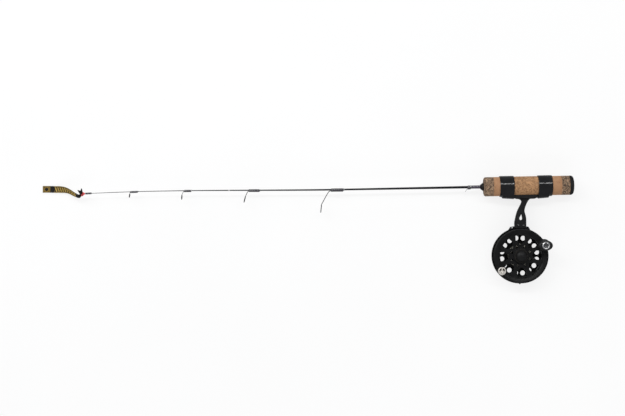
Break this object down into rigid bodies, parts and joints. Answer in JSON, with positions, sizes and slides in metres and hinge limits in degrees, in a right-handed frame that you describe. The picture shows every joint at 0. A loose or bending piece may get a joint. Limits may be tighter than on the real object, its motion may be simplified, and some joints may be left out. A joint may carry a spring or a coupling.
{
  "type": "ice fishing rod",
  "caption": "Short one-piece ice fishing rod on its side: tapered blank with ring guides, cork grip, inline reel on a stem held by stretched bands, crank knob, ribbon in the tip ring.",
  "frame": {"origin": "middle of the reel's flat rear boss, on the surface that the rod lies on; the spool's axis passes through it", "axes": "+Z is the spool's axis and points away from the surface, +X runs along the rod towards the butt, +Y runs from the reel to the rod"},
  "size_m": [0.6658, 0.1359, 0.0415],
  "materials": {
    "band_vinyl": "glossy black stretched sleeve",
    "bearing_bronze": "sintered bronze",
    "black_rubber": "satin black",
    "knob_plastic": "dark grey, fine matt grain",
    "burl_cork": "dark composite cork with pale and black chips",
    "cork": "natural cork, dark pores",
    "bright_steel": "polished steel",
    "drag_fibre": "pressed fibre",
    "ribbon_satin": "satin, gold print on black",
    "thread": "thread under clear gloss epoxy",
    "ring_ceramic": "polished black ceramic, stood in for by gloss plastic",
    "guide_wire": "black plated steel wire",
    "red_paint": "gloss red",
    "foot_metal": "black anodised, satin",
    "reel_metal": "dark grey anodised, satin",
    "blank": "dark grey glass-fibre blank under clear gloss"
  },
  "bodies": {
    "rod": {"band_front": "band_vinyl", "band_rear": "band_vinyl", "bearing_front": "bearing_bronze", "bearing_rear": "bearing_bronze", "butt_cap": "black_rubber", "cork_center": "cork", "cork_front_burl": "burl_cork", "cork_front_ring": "cork", "cork_rear_burl": "burl_cork", "cork_rear_ring": "cork", "drag_spring": "bright_steel", "drag_washer": "drag_fibre", "gift_ribbon": "ribbon_satin", "grip_wrap": "thread", "guide_1_frame": "guide_wire", "guide_1_insert": "ring_ceramic", "guide_1_trim": "bright_steel", "guide_1_wrap": "thread", "guide_2_frame": "guide_wire", "guide_2_insert": "ring_ceramic", "guide_2_trim": "bright_steel", "guide_2_wrap": "thread", "guide_3_frame": "guide_wire", "guide_3_insert": "ring_ceramic", "guide_3_trim": "bright_steel", "guide_3_wrap": "thread", "guide_4_frame": "guide_wire", "guide_4_insert": "ring_ceramic", "guide_4_trim": "bright_steel", "guide_4_wrap": "thread", "hook_keeper": "bright_steel", "keeper_trim": "bright_steel", "keeper_wrap": "thread", "line_pin": "bright_steel", "reel_foot": "foot_metal", "reel_housing": "reel_metal", "rod_blank": "blank", "spindle": "bright_steel", "stem_screw_left": "bright_steel", "stem_screw_right": "bright_steel", "tip_top_frame": "red_paint", "tip_top_ring": "ring_ceramic", "tip_top_wrap": "thread", "winding_check": "black_rubber"},
    "spool_assembly": {"spool": "reel_metal", "counterweight": "bright_steel", "counterweight_screw": "bright_steel", "knob_post": "bright_steel", "knob_cap": "bright_steel"},
    "crank_knob_body": {"crank_knob": "knob_plastic"},
    "drag_knob_body": {"drag_knob": "knob_plastic"}
  },
  "joints": [
    {"name": "spool_spin", "type": "hinge", "parent": "rod", "child": "spool_assembly", "pos_m": [0, 0, 0.015], "axis": [0, 0, 1], "continuous": true},
    {"name": "crank_knob_spin", "type": "hinge", "parent": "spool_assembly", "child": "crank_knob_body", "pos_m": [0.0285, 0.0127, 0.03], "axis": [0, 0, 1], "continuous": true},
    {"name": "drag_turn", "type": "hinge", "parent": "rod", "child": "drag_knob_body", "pos_m": [0, 0, 0.027], "axis": [0, 0, 1], "range_deg": [-150, 150]}
  ]
}
